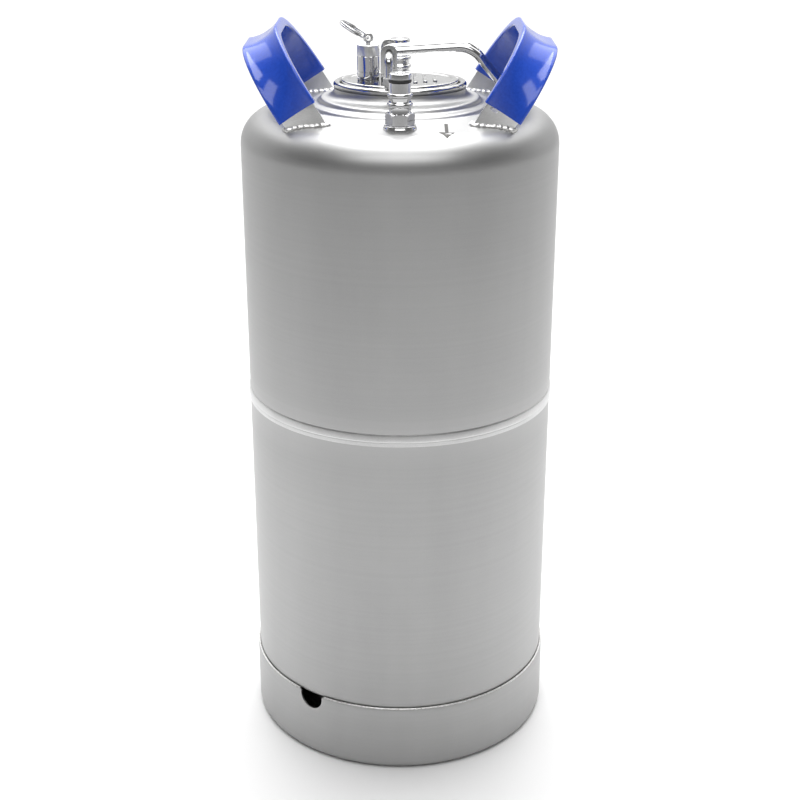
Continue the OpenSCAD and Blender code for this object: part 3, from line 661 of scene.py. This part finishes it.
@dataclass
class Lid:
    """The oval lid with its ribs, seal and bail bracket."""

    oval: Oval
    edge: float = -4.6 * MM
    top_z: float = 651.5 * MM
    ribs: tuple[float, ...] = (14 * MM, 23 * MM, 32 * MM)
    rib_w: float = 4 * MM
    rib_span: float = 58 * MM
    hinge_x: float = -10 * MM
    hinge_z: float = 677 * MM
    ear_r: float = 7.5 * MM
    ear_in: float = 16.65 * MM
    ear_t: float = 3 * MM

    def build(self) -> None:
        """Build the lid's fixed pieces."""
        self._plate()
        bm = bmesh.new()
        seal = arc((-2.1 * MM, 641.2 * MM), 2.5 * MM, 0, 342, 19)
        loft(bm, [self.oval.points(off, z) for off, z in seal], closed=True)
        publish("lid_seal", bm, Finish.RUBBER, "lid")
        self._bracket()

    def _plate(self) -> None:
        """Build the plate: flange, wall, rounded edge, raised border and shallow panel."""
        e, t = self.edge / MM, self.top_z / MM
        section = [(-20, t - 2.2), (e - 3.2, t - 2.2), (e - 2.4, t - 3.0), (e - 2, 637.4), (e - 1.6, 636.8),
                   (e + 3.6, 636.8), (e + 4, 637.2), (e + 4, 638.3), (e + 3.6, 638.7), (e + 0.4, 638.7),
                   (e, 639.2), (e, t - 1.5), (e - 0.12, t - 0.95), (e - 0.45, t - 0.45), (e - 0.95, t - 0.12),
                   (e - 1.6, t), (e - 4.2, t), (e - 5.0, t - 0.1), (e - 5.8, t - 0.45), (e - 6.6, t - 0.8),
                   (e - 7.6, t - 0.9), (e - 13, t - 0.75), (e - 20, t - 0.6), (e - 28, t - 0.5),
                   (-36, t - 0.45)]
        bm = bmesh.new()
        loft(bm, [self.oval.points(off * MM, z * MM) for off, z in section])
        for x in self.ribs:
            half, w = (self.rib_span - x) / 2, self.rib_w / 2
            outline = arc((0, half - w), w, 0, 180, 10) + arc((0, w - half), w, 180, 360, 10)
            plate(bm, outline, 1.8 * MM, move((x, 0, self.top_z - 1.1 * MM)), 0.6 * MM)
        publish("lid_plate", bm, Finish.POLISHED, "lid", angle=30)

    def _bracket(self) -> None:
        """Build the bracket: a base strip and two round-headed ears."""
        bm = bmesh.new()
        out = self.ear_in + self.ear_t
        r = self.ear_r
        rise = self.hinge_z - self.top_z + 0.8 * MM
        foot = [(-r, -out), (r, -out), (r, out), (-r, out)]
        plate(bm, foot, 2.8 * MM, move((self.hinge_x, 0, self.top_z - 0.8 * MM)), 0.5 * MM)
        ear = [(-r, -rise), (r, -rise)] + arc((0, 0), r, 0, 180, 20)
        for side in (-1, 1):
            y = self.ear_in + self.ear_t if side > 0 else -self.ear_in
            place = move((self.hinge_x, y, self.hinge_z)) @ turn(90, "X")
            plate(bm, ear, self.ear_t, place, 0.5 * MM)
        publish("bail_bracket", bm, Finish.POLISHED, "lid", angle=30)


@dataclass
class Bail:
    """The bent rod that holds the lid up, and its two foot caps."""

    rod_r: float = 3.7 * MM
    hinge: tuple[float, float] = (-10 * MM, 677 * MM)
    leg_y: float = 48.9 * MM
    arm_y: float = 12.5 * MM
    foot_z: float = 655.5 * MM
    bend: tuple[float, float] = (53 * MM, 656 * MM)
    bend_r: float = 25 * MM
    slope: float = 50.0
    root: tuple[float, float] = (90.0 * MM, 650.8 * MM)
    cap_r: float = 5.2 * MM

    def _half(self) -> list[Vector]:
        """Return the centre line of the near half, from the foot to the round end's root."""
        x, z = self.hinge
        corner = [Vector((x, -self.leg_y, self.foot_z - 3 * MM)), Vector((x, -self.leg_y, z)),
                  Vector((x, -self.arm_y, z)),
                  Vector((self.bend[0], -self.arm_y, self.bend[1] + self.bend_r))]
        path = rounded(corner, (7.5 * MM, 4.1 * MM))
        bend = arc(self.bend, self.bend_r, 90, 90 - self.slope, 12)
        path += [Vector((bx, -self.arm_y, bz)) for bx, bz in bend[1:]]
        return path + [Vector((self.root[0], -self.arm_y, self.root[1]))]

    def build(self) -> None:
        """Build the rod and its caps."""
        near = self._half()
        down = Vector((cos(radians(self.slope)), 0, -sin(radians(self.slope))))
        root = Vector((self.root[0], 0, self.root[1]))
        end = [root + down * self.arm_y * sin(a) + Vector((0, -self.arm_y * cos(a), 0))
               for a in (pi * i / 18 for i in range(1, 18))]
        far = [Vector((p.x, -p.y, p.z)) for p in reversed(near)]
        rod = tube(bmesh.new(), near + end + far, lambda _: self.rod_r, sides=28)
        publish("bail_handle", rod, Finish.CHROME, "bail", angle=50)
        bm = bmesh.new()
        cap = arc((0, 0), self.cap_r, -90, 0, 10) + [(self.cap_r, 4.4 * MM), (self.cap_r - 0.6 * MM, 5 * MM),
                                                     (self.rod_r, 5 * MM), (self.rod_r, 1 * MM), (0, 1 * MM)]
        for side in (-1, 1):
            spin(bm, cap, (self.hinge[0], side * self.leg_y, self.foot_z), steps=36)
        publish("bail_feet", bm, Finish.GREY, "bail")


@dataclass
class ReliefValve:
    """The relief valve on the lid and its split pull ring."""

    x: float = -29 * MM
    base_z: float = 651.5 * MM
    radius: float = 10.25 * MM
    body_h: float = 21 * MM
    cap_h: float = 10 * MM
    stem_r: float = 2.2 * MM
    eye_z: float = 688.0 * MM
    eye_r: float = 4.6 * MM
    eye_hole: float = 2.4 * MM
    ring_r: float = 14.1 * MM
    wire_r: float = 0.9 * MM
    tilt: float = 30.0

    def build(self) -> None:
        """Build the body, cap, stem and pull ring."""
        at = (self.x, 0, self.base_z)
        r, h, hole = self.radius / MM, self.body_h / MM, self.stem_r / MM + 0.3
        body = [(4.3, -14), (6.3, -14), (6.3, -0.6), (r - 0.5, -0.6), (r, 0), (r, 6.2), (r - 0.45, 6.55),
                (r - 0.45, 7.05), (r, 7.4), (r, h - 0.5), (r - 0.4, h), (8, h), (8, 3), (4.3, 3)]
        publish("relief_valve_body", spin(bmesh.new(), mm(body), at, steps=64), Finish.CHROME, "lid")
        top = h + self.cap_h / MM
        cap = [(hole, h), (r - 0.35, h), (r, h + 0.35), (r, top - 1.1), (r - 0.3, top - 0.4), (r - 1.0, top),
               (4, top), (hole, top - 0.8)]
        publish("relief_valve_cap", spin(bmesh.new(), mm(cap), at, steps=64), Finish.CAP, "lid")
        self._stem()
        self._ring()

    def _stem(self) -> None:
        """Build the stem with its disc and the eye that carries the ring."""
        bm = bmesh.new()
        low, top = 5.1 * MM, self.eye_z - self.base_z - self.eye_hole - 0.6 * MM
        s = self.stem_r
        disc, under = 6.4 * MM, low + 2.4 * MM
        spin(bm, [(0, low), (disc, low), (disc, under), (s, under), (s, top), (0, top)],
             (self.x, 0, self.base_z), steps=32)
        old = set(bm.verts)
        half, a, b = 1.5 * MM, self.eye_hole, self.eye_r
        soft = 0.5 * MM
        spin(bm, [(a + soft, -half), (b - soft, -half), (b, soft - half), (b, half - soft), (b - soft, half),
                  (a + soft, half), (a, half - soft), (a, soft - half)], steps=40)
        eye = [v for v in bm.verts if v not in old]
        bmesh.ops.rotate(bm, verts=eye, cent=(0, 0, 0), matrix=Matrix.Rotation(radians(90), 3, "X"))
        bmesh.ops.translate(bm, verts=eye, vec=(self.x, 0, self.eye_z))
        publish("relief_valve_stem", bm, Finish.POLISHED, "valve_stem")

    def _ring(self) -> None:
        """Wind the split ring: nearly two turns of wire with one crossing."""
        place = move((self.x, 0, self.eye_z)) @ turn(self.tilt, "Y") @ move((-self.ring_r, 0, 0))
        path = []
        steps = 170
        for i in range(steps + 1):
            u = 0.17 + 1.66 * i / steps
            t = min(max((u - 0.85) / 0.3, 0.0), 1.0)
            z = self.wire_r * 0.95 * (2 * t * t * (3 - 2 * t) - 1)
            a = 2 * pi * u
            path.append(place @ Vector((self.ring_r * cos(a), self.ring_r * sin(a), z)))
        wire = tube(bmesh.new(), path, lambda _: self.wire_r, sides=12)
        publish("relief_pull_ring", wire, Finish.WIRE, "pull_ring", angle=50)


@dataclass
class Post:
    """One quick-connect post with its boss, seal and poppet.

    Args:
        kind: gas or liquid, as in the CAD node names.
        turn: angle of the hexagon in degrees.
    """

    kind: str
    turn: float
    hex_af: float = 22.2 * MM
    hex_h: float = 10.4 * MM
    barrel_r: float = 9.65 * MM
    height: float = 44 * MM
    boss_r: float = 14 * MM
    stub_r: float = 7.7 * MM
    hex_rows: range = range(1, 8)

    def build(self) -> None:
        """Build the boss, the post's body, its O-ring and its poppet."""
        low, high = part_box(f"{self.kind}_post_body")
        self.at = Vector(((low.x + high.x) / 2, (low.y + high.y) / 2, low.z))
        b = self.boss_r / MM
        boss = [(4.05, -9.8), (8.8, -9.8), (8.8, -6), (b + 0.9, -5.4), (b + 0.9, -2.5), (b + 0.55, -1.9),
                (b + 0.1, -1.4), (b, -0.9), (b - 0.3, -0.3), (b - 0.9, 0), (7.6, 0), (7.6, 11), (4.05, 11)]
        publish(f"{self.kind}_boss", spin(bmesh.new(), mm(boss), self.at, steps=72), Finish.POLISHED, "keg")
        self._body()
        bm = bmesh.new()
        oring = [(x * MM, (37.5 + z * 1.35) * MM) for x, z in arc((8.95, 0.0), 1.05, 0, 337.5, 15)]
        spin(bm, oring, self.at, steps=64)
        publish(f"{self.kind}_post_oring", bm, Finish.RUBBER, "keg", angle=60)
        poppet = [(0, 26), (1.6, 26), (1.6, 30), (4.4, 30), (5.3, 30.6), (5.3, 32.6), (4.9, 33), (2.6, 33.4),
                  (2.6, 42.2), (2.2, 42.8), (1.5, 43), (0, 43)]
        name = f"{self.kind}_poppet"
        publish(name, spin(bmesh.new(), mm(poppet), self.at, steps=32), Finish.POLISHED, name)

    def _body(self) -> None:
        """Build the body as rings: a chamfered hexagon below a turned, grooved barrel."""
        h, r = self.hex_h / MM, self.barrel_r / MM
        full = self.hex_af / MM / sqrt(3)
        outside: Profile = [
            (self.stub_r / MM, 0), (full - 1.3, 0), (full - 0.6, 0.35), (full, 0.8),
            (full, h - 1.1), (full - 0.5, h - 0.75), (full - 1.1, h - 0.35),
            (full - 1.75, h), (r + 0.5, h), (r + 0.1, h + 0.5), (r - 0.2, h + 2.2),
            (r - 0.2, h + 4.0)]
        for middle in (7.0, 15.0):
            outside += arc((r - 0.8, h + middle), 2.2, -68, 68, 10)
            outside += [(r - 0.5, h + middle + 3.0)] if middle < 10 else []
        top = self.height / MM
        outside += [(r, h + 18), (r, 35.9), (r - 0.1, 36.0), (r - 1.6, 36.0),
                    (r - 1.6, 39.0), (r - 0.1, 39.0), (r, 39.1), (r, top - 1.0),
                    (r - 0.3, top - 0.35), (r - 1.0, top), (4.5, top),
                    (3.6, top - 0.9), (3.6, 33.4), (6.5, 33.2), (6.5, 12),
                    (self.stub_r / MM, 12)]
        bm = bmesh.new()
        rings = []
        for row, (radius, z) in enumerate(outside):
            points = []
            for k in range(96):
                a = 2 * pi * k / 96
                across = (a + pi / 6) % (pi / 3) - pi / 6
                reach = min(radius, self.hex_af / MM / 2 / cos(across)) if row in self.hex_rows else radius
                turned = a + radians(self.turn)
                points.append(self.at + Vector((cos(turned) * reach, sin(turned) * reach, z)) * MM)
            rings.append(points)
        loft(bm, rings, closed=True)
        publish(f"{self.kind}_post_body", bm, Finish.CHROME, "keg", angle=25)


@dataclass
class Handle:
    """One side handle: a bare steel strap, its blue sleeve and, for both sides, the foot welds.

    Args:
        side: 1 for the right-hand handle, -1 for the left-hand one.
        vessel: the vessel whose dome carries it.
    """

    side: int
    vessel: Vessel
    foot_x: float = 81.4 * MM
    foot_y: float = 85.45 * MM
    base_z: float = 624 * MM
    tilt: float = 32.5
    arch_h: float = 76.5 * MM
    corner_r: float = 62 * MM
    strap_w: float = 32 * MM
    strap_t: float = 3 * MM
    sleeve_w: float = 37 * MM
    sleeve_t: float = 2 * MM
    lip_h: float = 2.4 * MM
    bare_h: float = 17 * MM

    @property
    def name(self) -> str:
        """The handle's name in the CAD nodes."""
        return "right" if self.side > 0 else "left"

    def at(self, w: float, y: float, h: float) -> Vector:
        """Carry a point of the arch's own frame (across, along, up) to its place."""
        t = radians(self.tilt)
        x = self.foot_x + w * cos(t) + h * sin(t)
        return Vector((self.side * x, y, self.base_z - w * sin(t) + h * cos(t)))

    def line(self, low: float, steps: int = 16) -> list[tuple[Vector, Vector]]:
        """Return points of the arch from its front leg at a height low to the rear, with outward normals.

        Args:
            low: height in the arch's plane where both legs start.
            steps: chords in each corner.

        Returns:
            Pairs of a point (along, up) and its outward normal in the same plane.
        """
        shoulder = self.arch_h - self.corner_r
        inner = self.foot_y - self.corner_r
        rise = (shoulder - low) / 4
        leg = [(Vector((-self.foot_y, low + rise * i)), Vector((-1.0, 0.0))) for i in range(4)]
        path = list(leg)
        for centre, start in ((-inner, 180), (inner, 90)):
            for i in range(steps + 1):
                a = radians(start - 90 * i / steps)
                n = Vector((cos(a), sin(a)))
                path.append((Vector((centre, shoulder)) + n * self.corner_r, n))
            if centre < 0:
                path += [(Vector((inner * t, self.arch_h)), Vector((0.0, 1.0))) for t in (-0.5, 0.0, 0.5)]
        return path + [(Vector((-p.x, p.y)), Vector((-n.x, n.y))) for p, n in reversed(leg)]

    def _rings(self, line: Sequence[tuple[Vector, Vector]], section: Profile) -> list[Ring]:
        """Carry a section of (across, outward) along the line."""
        return [[self.at(w, p.x + n.x * t, p.y + n.y * t) for w, t in section] for p, n in line]

    def build(self) -> None:
        """Build the strap and the sleeve."""
        w, t, soft = self.strap_w / 2, self.strap_t / 2, 0.5 * MM
        section: Profile = []
        for cx, cy, start in ((w - soft, t - soft, 0), (soft - w, t - soft, 90), (soft - w, soft - t, 180),
                              (w - soft, soft - t, 270)):
            section += arc((cx, cy), soft, start, start + 90, 3)
        bm = loft(bmesh.new(), self._rings(self.line(-14 * MM), section))
        floor = self.base_z - 4.5 * MM
        cut = bmesh.ops.bisect_plane(bm, geom=bm.verts[:] + bm.edges[:] + bm.faces[:], plane_co=(0, 0, floor),
                                     plane_no=(0, 0, 1), clear_inner=True)
        rim = [e for e in cut["geom_cut"] if isinstance(e, bmesh.types.BMEdge)]
        bmesh.ops.holes_fill(bm, edges=rim, sides=0)
        strap = publish(f"{self.name}_handle_strap", bm, Finish.STRAP, "keg")
        if self.side > 0:
            self._slot(strap)
        self._sleeve()

    def _slot(self, strap: bpy.types.Object) -> None:
        """Cut the small rounded slot under the sleeve in the front leg."""
        r = 2 * MM
        bm = bmesh.new()
        outline = arc((r, 0), r, -90, 90, 12) + arc((-r, 0), r, 90, 270, 12)
        lean = turn(self.tilt, "Y")
        place = (move((self.foot_x, 0, self.base_z)) @ lean
                 @ move((-self.strap_w / 2 + 8 * MM, -self.foot_y + 4 * MM, self.bare_h - 4 * MM))
                 @ turn(90, "X"))
        plate(bm, outline, 8 * MM, place)
        carve(strap, bm)

    def _sleeve_section(self) -> Profile:
        """Return the sleeve's section: a flat back, round lips and a hollow outer face."""
        w = self.sleeve_w / 2
        back = -self.strap_t / 2 - self.sleeve_t
        face = self.strap_t / 2 + self.sleeve_t
        lip = face + self.lip_h
        soft = 1.7 * MM
        hollow = [(x * (w - 2.6 * MM), face - 1.2 * MM + (self.lip_h + 0.7 * MM) * abs(x) ** 2.2)
                  for x in (0.9 - 0.15 * k for k in range(13))]
        section = arc((w - soft, back + soft), soft, -90, 0, 4)
        section += arc((w - soft, lip - soft), soft, 0, 90, 5)
        section += hollow
        section += arc((soft - w, lip - soft), soft, 90, 180, 5)
        section += arc((soft - w, back + soft), soft, 180, 270, 4)
        return section + [(x * w, back) for x in (-0.5, 0.0, 0.5)]

    def _sleeve(self) -> None:
        """Build the sleeve: the section swept along the arch, with rounded open ends."""
        outer = self._sleeve_section()
        hole_w, hole_t = self.strap_w / 2 + 0.15 * MM, self.strap_t / 2 + 0.15 * MM
        hole = []
        for x, t in outer:
            t -= 0.5 * MM
            reach = 1.0 / max(abs(x) / hole_w, abs(t) / hole_t)
            hole.append((x * reach, t * reach))
        small = [(x * 0.965, t * 0.86) for x, t in outer]
        near = [(x * 0.99, t * 0.96) for x, t in outer]
        start = self.bare_h
        ends = [(hole, start + 7 * MM), (hole, start), (small, start), (near, start + 0.35 * MM)]
        rings = []
        for section, h in ends:
            rings += self._rings([(Vector((-self.foot_y, h)), Vector((-1.0, 0.0)))], section)
        rings += self._rings(self.line(start + 1.1 * MM, 24), outer)
        for section, h in reversed(ends):
            rings += self._rings([(Vector((self.foot_y, h)), Vector((1.0, 0.0)))], section)
        publish(f"{self.name}_handle_sleeve", loft(bmesh.new(), rings), Finish.BLUE, "keg", angle=38)

    def bead(self, bm: Mesh, seed: int) -> None:
        """Lay the lumpy weld bead round both feet."""
        rng = random.Random(seed)
        w, t = self.strap_w / 2 + 1.3 * MM, self.strap_t / 2 + 1.5 * MM
        for leg in (-1, 1):
            flat: Profile = []
            for cx, cy, start in ((w - t, 0.0, -90), (t - w, 0.0, 90)):
                flat += arc((cx, cy), t, start, start + 180, 9)
            path, sizes = [], []
            dense = self._dense(flat, 1.1 * MM)
            for i, (across, along) in enumerate(dense):
                y = leg * self.foot_y + along
                h = 0.0
                for _ in range(12):
                    p = self.at(across, y, h)
                    h += (self.vessel.dome(hypot(p.x, p.y)) - p.z) / cos(radians(self.tilt))
                lump = noise.noise(Vector((i * 0.55, seed, leg * 5.0)))
                path.append(self.at(across, y, h) + Vector((0, 0, 0.25 * MM)))
                sizes.append(2.3 * MM + 0.6 * MM * sin(i * 1.55) * rng.uniform(0.4, 1.0) + 0.7 * MM * lump)
            tube(bm, path, lambda i, s=sizes: s[i], sides=10, closed=True)

    @staticmethod
    def _dense(loop: Profile, gap: float) -> Profile:
        """Return a closed loop's points at an even spacing of about gap."""
        out: Profile = []
        for a, b in zip(loop, loop[1:] + loop[:1]):
            count = max(int(dist(a, b) / gap), 1)
            step = ((b[0] - a[0]) / count, (b[1] - a[1]) / count)
            out += [(a[0] + step[0] * i, a[1] + step[1] * i) for i in range(count)]
        return out


@dataclass
class Mark:
    """A plain arrow etched on the shoulder beside the liquid post, thinner than paint."""

    vessel: Vessel
    x: float = 40 * MM
    y: float = -106 * MM
    length: float = 36 * MM
    width: float = 14 * MM

    def build(self) -> None:
        """Lay the arrow's outline on the dome."""
        l, w = self.length, self.width / 2
        outline = [(0.5 * l, 0.0), (0.12 * l, w), (0.12 * l, 0.22 * w), (-0.5 * l, 0.22 * w),
                   (-0.5 * l, -0.22 * w), (0.12 * l, -0.22 * w), (0.12 * l, -w)]
        bm = bmesh.new()
        plate(bm, outline, 0.12 * MM,
              move((self.x, self.y, 0)) @ turn(-90, "Z"))
        bmesh.ops.subdivide_edges(bm, edges=bm.edges[:], cuts=6, use_grid_fill=True)
        bmesh.ops.triangulate(bm, faces=bm.faces[:])
        for v in bm.verts:
            v.co.z += self.vessel.dome(hypot(v.co.x, v.co.y)) - 0.06 * MM
        arrow = publish("etched_arrow", bm, Finish.SATIN, "keg")
        arrow.data.materials[0] = FINISHES.etched()


@dataclass
class InnerParts:
    """CAD nodes whose own shape stays, with their finishes."""

    finishes: tuple[tuple[str, Finish], ...] = (
        ("relief_valve_nut", Finish.POLISHED), ("relief_valve_seal", Finish.RUBBER),
        ("relief_valve_spring", Finish.SPRING), ("gas_poppet_spring", Finish.SPRING),
        ("liquid_poppet_spring", Finish.SPRING), ("gas_dip_tube", Finish.POLISHED),
        ("liquid_dip_tube", Finish.POLISHED), ("gas_dip_tube_seal", Finish.RUBBER),
        ("liquid_dip_tube_seal", Finish.RUBBER))

    def build(self) -> None:
        """Give each kept node its material."""
        for name, finish in self.finishes:
            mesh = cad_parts[name].data
            mesh.materials.clear()
            mesh.materials.append(FINISHES.get(finish))
            LOG.info("%s: kept, %s", name, finish.value)


# ---------- the studio ----------

@dataclass
class Studio:
    """The camera, the pale floor and the soft light."""

    lens: float = 65.5
    camera_at: tuple[float, float, float] = (0.0, -1.35, 0.8776)
    pitch: float = 21.97
    floor_size: float = 30.0

    def build(self) -> None:
        """Set the camera, the floor, the lamps and the sky."""
        scene = bpy.context.scene
        data = bpy.data.cameras.new("camera")
        data.lens = self.lens
        data.sensor_width = 36.0
        data.clip_end = 100.0
        camera = bpy.data.objects.new("camera", data)
        camera.location = self.camera_at
        camera.rotation_euler = (radians(90 - self.pitch), 0.0, 0.0)
        scene.collection.objects.link(camera)
        scene.camera = camera
        scene.view_settings.view_transform = "Standard"
        self._floor()
        self._lamp("top_softbox", (0.0, 0.4, 1.75), (0.0, 0.4, 0.0), (1.1, 1.6), 27.0)
        self._lamp("back_softbox", (0.0, 5.0, 5.0), (0.0, 5.0, 0.0), (11.0, 8.0), 400.0)
        self._lamp("front_softbox", (0.0, -1.3, 2.0), (0.0, 0.0, 0.6), (2.0, 0.7), 13.0)
        self._sky()

    def _floor(self) -> None:
        """Lay the pale floor."""
        bm = bmesh.new()
        bmesh.ops.create_grid(bm, x_segments=8, y_segments=8, size=self.floor_size / 2)
        mesh = bpy.data.meshes.new("floor")
        bm.to_mesh(mesh)
        bm.free()
        floor = bpy.data.objects.new("floor", mesh)
        bpy.context.scene.collection.objects.link(floor)
        material = bpy.data.materials.new("pale_floor")
        material.use_nodes = True
        nodes = NodeTree(material.node_tree)
        place = nodes.add("ShaderNodeTexCoord").outputs["Object"]
        grain = nodes.noise(place, 2.0, 3.0)
        shader = material.node_tree.nodes["Principled BSDF"]
        nodes.put(shader, "Base Color", nodes.ramp(grain, ((0.3, (0.90,) * 3), (0.7, (0.93,) * 3))))
        shader.inputs["Roughness"].default_value = 0.7
        mesh.materials.append(material)

    def _lamp(self, name: str, at: Sequence[float], aim: Sequence[float], size: tuple[float, float],
              power: float) -> None:
        """Hang a rectangular lamp that points at aim."""
        data = bpy.data.lights.new(name, "AREA")
        data.shape = "RECTANGLE"
        data.size, data.size_y = size
        data.energy = power
        lamp = bpy.data.objects.new(name, data)
        lamp.location = at
        lamp.rotation_euler = (Vector(aim) - Vector(at)).to_track_quat("-Z", "Y").to_euler()
        bpy.context.scene.collection.objects.link(lamp)

    def _sky(self) -> None:
        """Make the surroundings: light above, darker near the horizon."""
        world = bpy.data.worlds.new("surroundings")
        bpy.context.scene.world = world
        world.use_nodes = True
        nodes = NodeTree(world.node_tree)
        way = nodes.add("ShaderNodeTexCoord").outputs["Generated"]
        split = nodes.add("ShaderNodeSeparateXYZ", Vector=way)
        high = nodes.ramp(nodes.span(split.outputs["Z"], 0.0, 1.0, 0.0, 1.0),
                          ((0.0, (0.40,) * 3), (0.14, (0.32,) * 3), (0.35, (0.10,) * 3), (0.7, (0.25,) * 3)))
        behind = nodes.span(split.outputs["Y"], -0.1, 0.5, 0.0, 1.0)
        colour = nodes.mixed(behind, high, (1.0, 1.0, 1.0, 1.0))
        back = world.node_tree.nodes["Background"]
        nodes.put(back, "Color", colour)
        back.inputs["Strength"].default_value = 0.9


def handle_welds(handles: Sequence[Handle]) -> None:
    """Build the four foot welds as one piece."""
    bm = bmesh.new()
    for i, handle in enumerate(handles):
        handle.bead(bm, 11 + i)
    publish("handle_welds", bm, Finish.BEAD, "keg", angle=60)


def main() -> None:
    """Build every sub-assembly in order."""
    logging.basicConfig(level=logging.INFO, format="%(message)s")
    Studio().build()
    vessel = Vessel()
    vessel.build()
    oval = Oval()
    Mouth(oval).build()
    Lid(oval).build()
    Bail().build()
    ReliefValve().build()
    Post("liquid", 30.0).build()
    Post("gas", 45.0).build()
    handles = [Handle(side, vessel) for side in (1, -1)]
    for handle in handles:
        handle.build()
    handle_welds(handles)
    Mark(vessel).build()
    InnerParts().build()


if __name__ == "__main__":
    main()
